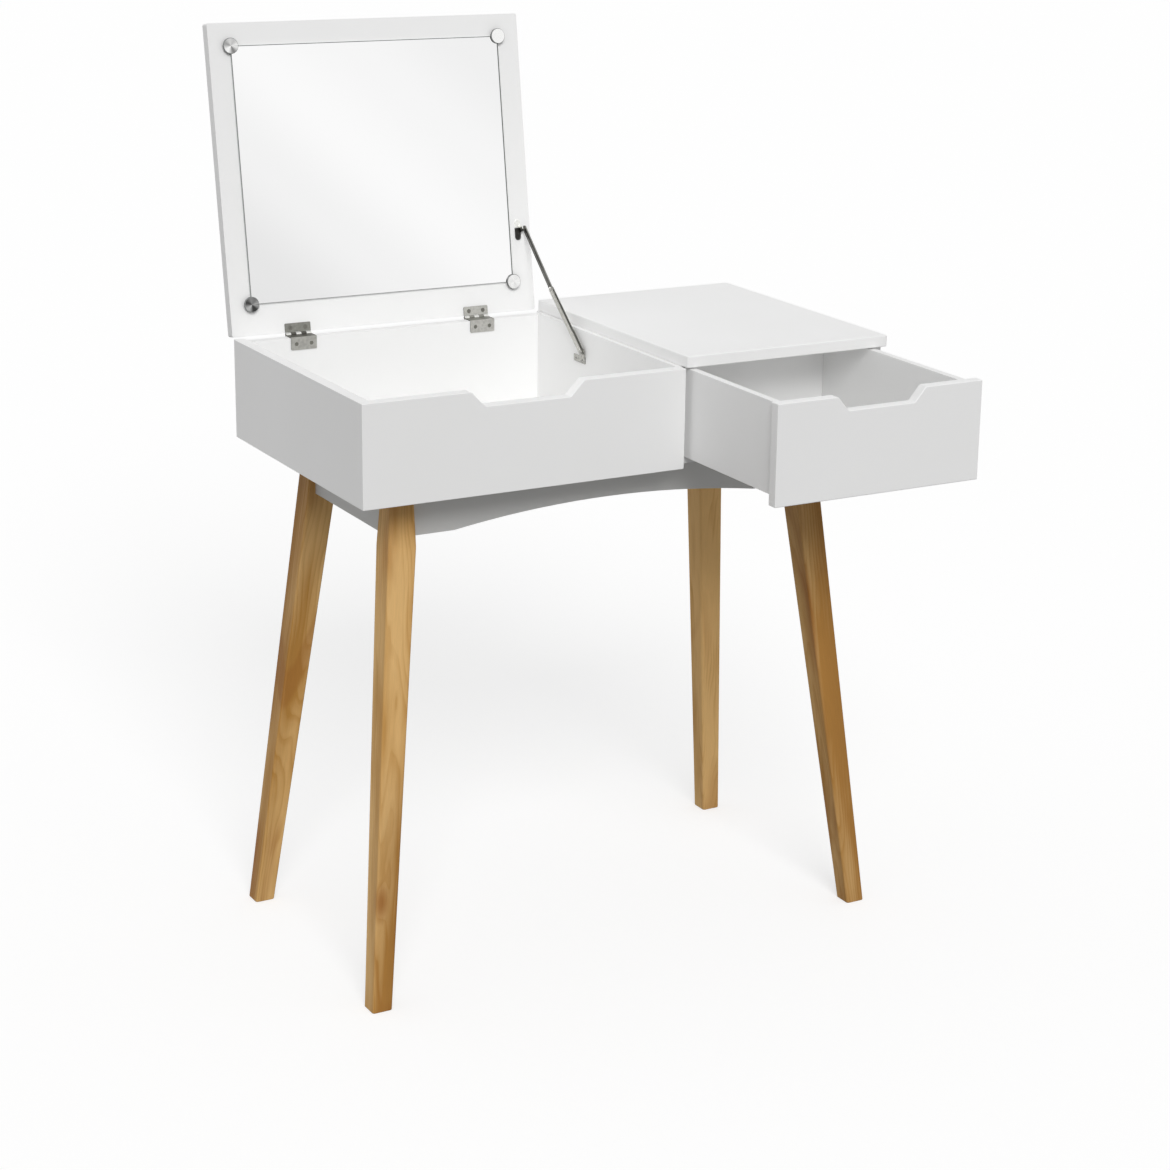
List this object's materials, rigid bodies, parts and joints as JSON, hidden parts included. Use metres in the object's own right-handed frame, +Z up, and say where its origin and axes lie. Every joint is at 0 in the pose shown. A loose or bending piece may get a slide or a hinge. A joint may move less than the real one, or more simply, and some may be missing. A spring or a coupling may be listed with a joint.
{
  "type": "flip top vanity table",
  "caption": "Vanity table with a flip-up mirror lid held by a folding stay, a side drawer with a finger notch, an arched apron and splayed tapered legs.",
  "frame": {"origin": "on the floor below the middle of the table's outline, with the lid open and the drawer pulled out as at rest", "axes": "+Z up, front towards -Y, +X to the right seen from the front"},
  "size_m": [0.75, 0.6862, 1.1815],
  "materials": {
    "white_paint": "white painted fibreboard, satin",
    "white_board": "white laminated thin board, satin",
    "pine": "clear varnished pine, satin",
    "mirror_glass": "silvered float glass",
    "chrome_cap": "bright chrome",
    "satin_nickel": "satin nickel plated",
    "dark_steel": "dark plated, semi-gloss",
    "bright_steel": "nickel plated",
    "zinc_steel": "zinc plated"
  },
  "bodies": {
    "case": {"left_side_panel": "white_paint", "right_side_panel": "white_paint", "back_panel": "white_paint", "divider_panel": "white_paint", "bottom_board": "white_board", "front_panel": "white_paint", "top_board": "white_paint", "front_left_leg": "pine", "front_right_leg": "pine", "rear_left_leg": "pine", "rear_right_leg": "pine", "front_apron": "white_paint", "rear_apron": "white_paint", "left_apron": "white_paint", "right_apron": "white_paint", "leg_corner_plates": "zinc_steel", "corner_plate_screws": "zinc_steel", "leg_bolts": "zinc_steel", "leg_nuts": "zinc_steel", "left_hinge_fixed_leaf": "satin_nickel", "right_hinge_fixed_leaf": "satin_nickel", "hinge_pins": "bright_steel", "hinge_case_screws": "bright_steel", "stay_case_bracket": "satin_nickel", "stay_case_screws": "bright_steel"},
    "lid": {"lid_panel": "white_paint", "mirror": "mirror_glass", "mirror_caps": "chrome_cap", "mirror_cap_studs": "bright_steel", "left_hinge_moving_leaf": "satin_nickel", "right_hinge_moving_leaf": "satin_nickel", "hinge_lid_screws": "bright_steel", "stay_lid_bracket": "satin_nickel", "stay_lid_screws": "bright_steel", "stay_lid_rivet": "bright_steel"},
    "stay_upper": {"stay_upper_arm": "dark_steel"},
    "stay_lower": {"stay_lower_arm": "satin_nickel", "stay_elbow_rivet": "bright_steel", "stay_case_rivet": "bright_steel"},
    "drawer": {"drawer_front": "white_paint", "drawer_left_side": "white_paint", "drawer_right_side": "white_paint", "drawer_back": "white_paint", "drawer_bottom": "white_board"}
  },
  "joints": [
    {"name": "lid_hinge", "type": "hinge", "parent": "case", "child": "lid", "pos_m": [-0.15375, 0.26638, 0.7838], "axis": [1, 0, 0], "range_deg": [0, 98.65]},
    {"name": "stay_lid_pivot", "type": "hinge", "parent": "lid", "child": "stay_upper", "pos_m": [0.057, 0.27947, 0.89712], "axis": [1, 0, 0], "range_deg": [-25.81, 0]},
    {"name": "stay_elbow", "type": "hinge", "parent": "stay_upper", "child": "stay_lower", "pos_m": [0.057, 0.20089, 0.82652], "axis": [1, 0, 0], "range_deg": [-154.78, 0]},
    {"name": "drawer_slide", "type": "slide", "parent": "case", "child": "drawer", "axis": [0, -1, 0], "range_m": [-0.2067, 0.045]}
  ],
  "couplings": [
    {"joint": "stay_lid_pivot", "follows": "lid_hinge", "ratio": -0.26162},
    {"joint": "stay_elbow", "follows": "lid_hinge", "ratio": -1.5689}
  ]
}
